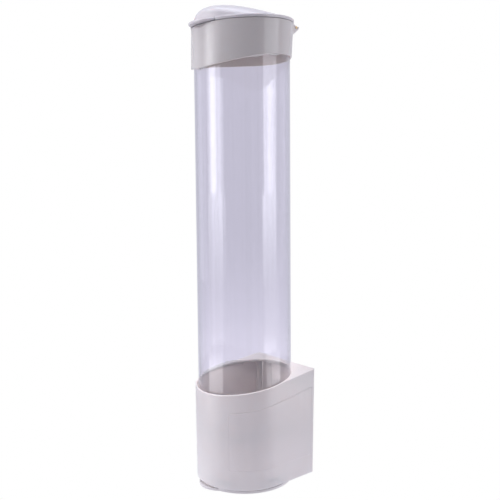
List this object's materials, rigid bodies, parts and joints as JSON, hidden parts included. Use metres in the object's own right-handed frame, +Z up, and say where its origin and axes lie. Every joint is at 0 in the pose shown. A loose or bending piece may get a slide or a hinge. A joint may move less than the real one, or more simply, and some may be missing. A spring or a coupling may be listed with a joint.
{
  "type": "cup dispenser",
  "caption": "Pull-type cup dispenser: a clear tube of stacked cups on a D-shaped wall base, with a turning claw ring below and a hinged domed lid on top.",
  "frame": {"origin": "on the cup tube's axis at the underside of the claw ring, the lowest point; it is also the centre of the bounding box's bottom", "axes": "+Z up along the cup tube, -Y out of the front towards the user, +Y out of the flat back into the wall, +X to the right seen from the front"},
  "size_m": [0.0858, 0.097, 0.3976],
  "materials": {
    "white_plastic": "moulded white ABS with a soft gloss",
    "clear_plastic": "clear polished extruded plastic",
    "claw_nylon": "moulded natural nylon",
    "steel": "drawn wire and zinc-plated screws",
    "hinge_brass": "dull cut pin",
    "pad_foam": "closed-cell foam with adhesive faces"
  },
  "bodies": {
    "base": {"base_housing": "white_plastic", "tube_seat": "white_plastic", "seat_screw_left": "steel", "seat_screw_right": "steel", "mounting_pad": "pad_foam", "cup_tube": "clear_plastic", "collar": "white_plastic"},
    "lid": {"lid": "white_plastic", "hinge_pin_left": "hinge_brass", "hinge_pin_right": "hinge_brass"},
    "ring": {"claw_ring": "white_plastic", "claw_pin_1": "steel", "claw_pin_2": "steel", "claw_pin_3": "steel", "claw_pin_4": "steel", "claw_pin_5": "steel", "claw_pin_6": "steel", "claw_spring_1": "steel", "claw_spring_2": "steel", "claw_spring_3": "steel", "claw_spring_4": "steel", "claw_spring_5": "steel", "claw_spring_6": "steel"},
    "claw_1": {"cup_claw_1": "claw_nylon"},
    "claw_2": {"cup_claw_2": "claw_nylon"},
    "claw_3": {"cup_claw_3": "claw_nylon"},
    "claw_4": {"cup_claw_4": "claw_nylon"},
    "claw_5": {"cup_claw_5": "claw_nylon"},
    "claw_6": {"cup_claw_6": "claw_nylon"}
  },
  "joints": [
    {"name": "lid_hinge", "type": "hinge", "parent": "base", "child": "lid", "pos_m": [0, 0.0433, 0.38592], "axis": [-1, 0, 0], "range_deg": [0, 82]},
    {"name": "ring_turn", "type": "hinge", "parent": "base", "child": "ring", "pos_m": [0, 0, 0], "axis": [0, 0, 1], "range_deg": [0, 30]},
    {"name": "claw_1_flex", "type": "hinge", "parent": "ring", "child": "claw_1", "pos_m": [0, -0.0371, 0.009], "axis": [-1, 0, 0], "range_deg": [0, 70], "stiffness_Nm_per_rad": 0.006, "springref_deg": -20.05},
    {"name": "claw_2_flex", "type": "hinge", "parent": "ring", "child": "claw_2", "pos_m": [0.03213, -0.01855, 0.009], "axis": [-0.5, -0.866, 0], "range_deg": [0, 70], "stiffness_Nm_per_rad": 0.006, "springref_deg": -20.05},
    {"name": "claw_3_flex", "type": "hinge", "parent": "ring", "child": "claw_3", "pos_m": [0.03213, 0.01855, 0.009], "axis": [0.5, -0.866, 0], "range_deg": [0, 70], "stiffness_Nm_per_rad": 0.006, "springref_deg": -20.05},
    {"name": "claw_4_flex", "type": "hinge", "parent": "ring", "child": "claw_4", "pos_m": [0, 0.0371, 0.009], "axis": [1, 0, 0], "range_deg": [0, 70], "stiffness_Nm_per_rad": 0.006, "springref_deg": -20.05},
    {"name": "claw_5_flex", "type": "hinge", "parent": "ring", "child": "claw_5", "pos_m": [-0.03213, 0.01855, 0.009], "axis": [0.5, 0.866, 0], "range_deg": [0, 70], "stiffness_Nm_per_rad": 0.006, "springref_deg": -20.05},
    {"name": "claw_6_flex", "type": "hinge", "parent": "ring", "child": "claw_6", "pos_m": [-0.03213, -0.01855, 0.009], "axis": [-0.5, 0.866, 0], "range_deg": [0, 70], "stiffness_Nm_per_rad": 0.006, "springref_deg": -20.05}
  ]
}
